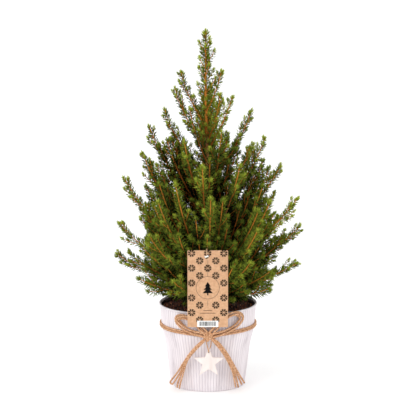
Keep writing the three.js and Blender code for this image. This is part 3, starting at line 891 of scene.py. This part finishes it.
RIGHT_ENDS = [
    [(40, -64, 34), (43, -59, 18), (44.5, -55, 7)],
    [(42.5, -62.5, 34), (46.5, -56.5, 18), (49, -52, 6)],
    [(45, -60.5, 34), (51, -52.5, 19), (54.5, -46.5, 9.5)],
    [(47.5, -58.5, 34), (54.5, -49.5, 20), (59, -43.5, 11)],
]


WRAPS = [(-4.2, 0.5), (-1.6, 0.15), (1.6, -0.2), (4.2, -0.55), (0, 1.3), (0, 1.8), (0.8, 0.85), (-0.8, -0.9)]
FIBRES = {"count": 700, "length": (2.5, 5.5), "width": 0.16 * MM}


def band_line():
    """Round the collar, dipping a little at the front, from one side of the knot to the other."""
    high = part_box("twine_band")[1]
    ring = high.x - STRAND["radius"]
    turned_by = np.linspace(0.05, 2 * math.pi - 0.05, 200)
    dip = 2 * MM * np.maximum(0, np.cos(turned_by)) ** 15
    return np.stack([ring * np.sin(turned_by), -ring * np.cos(turned_by), high.z - 3.4 * MM - dip], axis=1)


def strand(batch, line, radius=STRAND["radius"]):
    """One strand of three plies, which a section with three lobes shows as it turns."""
    length = line_length(line)
    line = even_line(line, max(8, int(length / STRAND["step"])))
    radii = radius * chance.uniform(0.92, 1.08, len(line))
    batch.add(*swept(line, radii, STRAND["sides"], lobes=3, depth=0.2, turns=length / STRAND["turn"]))


def side_by_side(batch, line, strands=2, crossings=0.0):
    """Strands that lie flat against the pot next to each other, and may cross over."""
    line = even_line(line, 60)
    tangents = unit(np.gradient(line, axis=0))
    outward = unit(line * [1, 1, 0])
    beside = unit(np.cross(tangents, outward))
    outward = np.cross(beside, tangents)
    along = np.linspace(0, 1, len(line))[:, None]
    apart = STRAND["radius"] * (strands - 1)
    for k in range(strands):
        angle = math.pi * (2 * k / strands + crossings * along) + 0.3 * np.sin(8 * along + 2 * k)
        strand(batch, line + apart * (np.cos(angle) * beside + 0.45 * np.sin(angle) * outward))


def fuzz(lines, count):
    """Loose fibres that stand off the twine."""
    starts, directions, alongs = [], [], []
    for _ in range(count):
        line = lines[chance.integers(len(lines))]
        at = chance.integers(1, len(line) - 1)
        along = unit(line[at + 1] - line[at - 1]) * chance.choice([-1, 1])
        starts.append(line[at])
        directions.append(leaning(along, chance.uniform(0, TURN), math.radians(chance.uniform(25, 75))))
        alongs.append(along)
    lengths, widths = chance.uniform(*FIBRES["length"], count) * MM, np.full(count, FIBRES["width"])
    return needles_mesh(np.array(starts), np.array(directions), np.array(alongs), lengths, widths)


def build_twine():
    jute = mottled(
        "jute", [(0.32, (172, 116, 76)), (0.5, (216, 164, 122)), (0.68, (244, 204, 168))], 480, roughness=0.9
    )
    band, bow = Batch(), Batch()
    ring = band_line()
    side_by_side(band, ring)
    keep(band.build("twine_round_the_pot", jute, True), "jute", "twine_band")
    routes = []
    for points in (LEFT_LOOP, RIGHT_LOOP):
        line = smooth_line(np.array(points) * MM, 80)
        routes.append(line)
        side_by_side(bow, line, 3, 1)
    for stem, ends in ((LEFT_STEM, LEFT_ENDS), (RIGHT_STEM, RIGHT_ENDS)):
        for k, end in enumerate(ends):
            spread = np.array([(2.2 * (k - (len(ends) - 1) / 2), -0.6 * (k % 2), 0)] * (len(stem) - 1))
            points = np.vstack([stem[:1], np.array(stem[1:]) + spread, end])
            line = smooth_line(points * MM, 80)
            routes.append(line)
            strand(bow, line, 1.4 * MM)
    for shift, tilt in WRAPS:
        a = np.linspace(0.2, 2 * math.pi + 0.1, 40)
        x, y, z = shift + 0.8 * np.sin(a), -0.9 - 3.7 * np.cos(a), 6.8 * np.sin(a)
        wrap = np.stack([x * math.cos(tilt) - z * math.sin(tilt), y, x * math.sin(tilt) + z * math.cos(tilt)], 1)
        strand(bow, KNOT + wrap * MM)
    keep(bow.build("twine_bow_and_tails", jute, True), "jute", "twine_bow")
    points, faces = fuzz([ring, *routes, *routes], FIBRES["count"])
    keep(mesh_object("twine_fibres", points, faces, plain("jute_fibres", (226, 180, 138), 0.9)), "jute")


# ---------------------------------------------------------------- star and tag
def restyle(node, material):
    """Gives a CAD node, whose shape is right, its finished material."""
    mesh = NODES[node].data
    mesh.materials.clear()
    mesh.materials.append(material)


CARD_THICK = 0.8 * MM
RING = {"height": 0.515, "radius": 18.6, "line": 0.5, "clear": 5.2}  # height: a share of the tag's
MOTIF = {"size": 11.2, "column": 0.198, "row": 0.0965, "top": 0.963}  # pitches and top: shares of the tag


class Face:
    """The front of the tag as a sheet to print on: millimetres across from its middle and up from its foot."""

    def __init__(self):
        rise, depth = TAG_HIGH[2] - TAG_LOW[2], TAG_HIGH[1] - TAG_LOW[1]
        tilt = math.atan2(depth - CARD_THICK, rise)
        self.up = np.array([0, -math.sin(tilt), math.cos(tilt)])
        self.out = np.array([0, -math.cos(tilt), -math.sin(tilt)])
        foot = np.array([(TAG_LOW[0] + TAG_HIGH[0]) / 2, TAG_HIGH[1], TAG_LOW[2]])
        self.corner = foot + self.out * CARD_THICK
        self.width = (TAG_HIGH[0] - TAG_LOW[0]) / MM
        self.height = math.hypot(rise, depth - CARD_THICK) / MM

    def plate(self, batch, outline, proud=0.08):
        """A thin plate of a convex outline, laid on the face."""
        flat = np.array([self.corner + MM * (u * np.array([1.0, 0, 0]) + v * self.up) for u, v in outline])
        n = len(outline)
        points = np.vstack([flat - self.out * 0.05 * MM, flat + self.out * proud * MM])
        faces = []
        for k in range(n):
            a, b = k, (k + 1) % n
            faces += [[a, b, b + n], [a, b + n, a + n]]
        for k in range(1, n - 1):
            faces += [[n, n + k, n + k + 1], [0, k + 1, k]]
        batch.add(points, faces)


def bar(u, v, wide, tall):
    corners = (-1, -1), (1, -1), (1, 1), (-1, 1)
    return [(u + i * wide / 2, v + j * tall / 2) for i, j in corners]


def print_motif(face, batch, u, v, size):
    """A knitted-pattern flower of eight petals."""
    half = [(0.24, -0.04), (0.5, -0.14), (0.8, -0.24), (1.06, -0.27)]
    petal = half + [(x, -y) for x, y in reversed(half)]
    for k in range(8):
        a = math.pi / 8 + k * math.pi / 4
        outline = [(u + size / 2 * (x * math.cos(a) - y * math.sin(a)),
                    v + size / 2 * (x * math.sin(a) + y * math.cos(a))) for x, y in petal]
        face.plate(batch, outline)


def print_ring(face, batch, u, v, radius, line):
    steps = 72
    for k in range(steps):
        a, b = (2 * math.pi * (k + step) / steps for step in (0, 1))
        inner, outer = radius - line / 2, radius + line / 2
        corners = (inner, a), (outer, a), (outer, b), (inner, b)
        face.plate(batch, [(u + r * math.cos(t), v + r * math.sin(t)) for r, t in corners])


def build_tag():
    face = Face()
    wide, tall = face.width, face.height
    ink = Batch()
    ring_v, ring_radius = tall * RING["height"], RING["radius"]
    column, row = wide * MOTIF["column"], tall * MOTIF["row"]
    for j in range(10):
        for i in range(5):
            u, v = (i - 2) * column, tall * MOTIF["top"] - j * row
            off_ring = math.hypot(u, v - ring_v) > ring_radius + RING["clear"]
            if (i + j) % 2 == 0 and off_ring and not (i == 2 and j == 8):
                print_motif(face, ink, u, v, MOTIF["size"])
    print_ring(face, ink, 0, ring_v, ring_radius, RING["line"])
    face.plate(ink, bar(0, (ring_v + ring_radius + tall * 0.88) / 2, 0.45, tall * 0.88 - ring_v - ring_radius))
    face.plate(ink, bar(0, ring_v - ring_radius - 7.5, 0.45, 9))
    for tier, (low, half, rise) in enumerate([(-9, 8.4, 9), (-3.4, 6.6, 8.4), (2, 4.8, 8)]):
        foot = ring_v + low
        face.plate(ink, [(-half, foot), (half, foot), (0, foot + rise)], 0.1 + 0.02 * tier)
    face.plate(ink, bar(0, ring_v - 10.8, 2.2, 3.6))
    for v, length in ((tall * 0.218, 14), (tall * 0.183, 25)):
        face.plate(ink, bar(0, v, length, 0.7))
    keep(ink.build("tag_print", plain("ink", (10, 9, 9), 0.8, specular=0.1)), "card")
    sticker, bars = Batch(), Batch()
    face.plate(sticker, bar(0, 5.6, 34, 10.4), 0.16)
    u, end = -13.0, 13.0
    while u < end:
        width = chance.choice([0.5, 0.8, 1.2])
        face.plate(bars, bar(u, 5.8, width, 7.2), 0.22)
        u += width + chance.choice([0.35, 0.5, 0.7])
    keep(sticker.build("tag_sticker", plain("sticker", (240, 240, 238), 0.5)), "card")
    keep(bars.build("tag_sticker_bars", plain("sticker_ink", (40, 40, 42), 0.6)), "card")
    kraft = mottled("kraft_card", [(0.35, (196, 150, 112)), (0.55, (207, 162, 124)), (0.7, (214, 172, 136))], 320)
    restyle("tag", kraft)
    restyle("tag_tie", plain("thread", (206, 170, 136), 0.9))
    knot = Batch()
    for points in ([(-5.4, -101.4, 234.4), (-2.4, -102.7, 233.4), (0.8, -101.5, 234.6)],
                   [(-4.6, -101.4, 232), (-2.4, -102.9, 234), (0, -101.5, 235.6)]):
        knot.add(*swept(smooth_line(np.array(points) * MM, 10), 0.9 * MM))
    keep(knot.build("tag_tie_knot", plain("white_thread", (246, 242, 236), 0.8), True), "thread")


def build_star():
    restyle("star", mottled(
        "limed_wood", [(0.35, (226, 213, 207)), (0.55, (237, 226, 221)), (0.7, (244, 235, 231))], 90, (1, 1, 0.2)
    ))
    restyle("star_string", plain("string", (196, 142, 88), 0.9))


# ---------------------------------------------------------------- making the plant
REACH_AT = crown_reach()

add_camera()
add_studio()
plume_shoots, bough_limbs = grow_plumes()
all_shoots = plume_shoots + grow_leader()
# The inner fillers get darker needle and tuft tints than the outer ones, as painted shade deep in the crown.
all_shoots += grow_fillers(96, (0.4, 0.66), ["deep", "mid", "mid"], "bright", FILLER, FILLER)
all_shoots += grow_fillers(76, (0.64, 0.88), ["deep", "mid", "bright", "bright"], "fresh", FEATHER, BRUSH)
all_shoots += grow_upper_fillers()
needle_pieces = build_needles(all_shoots)
build_twigs(all_shoots)
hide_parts(*MASSES)
build_wood(bough_limbs)
build_pot()
build_compost()
build_twine()
build_tag()
build_star()
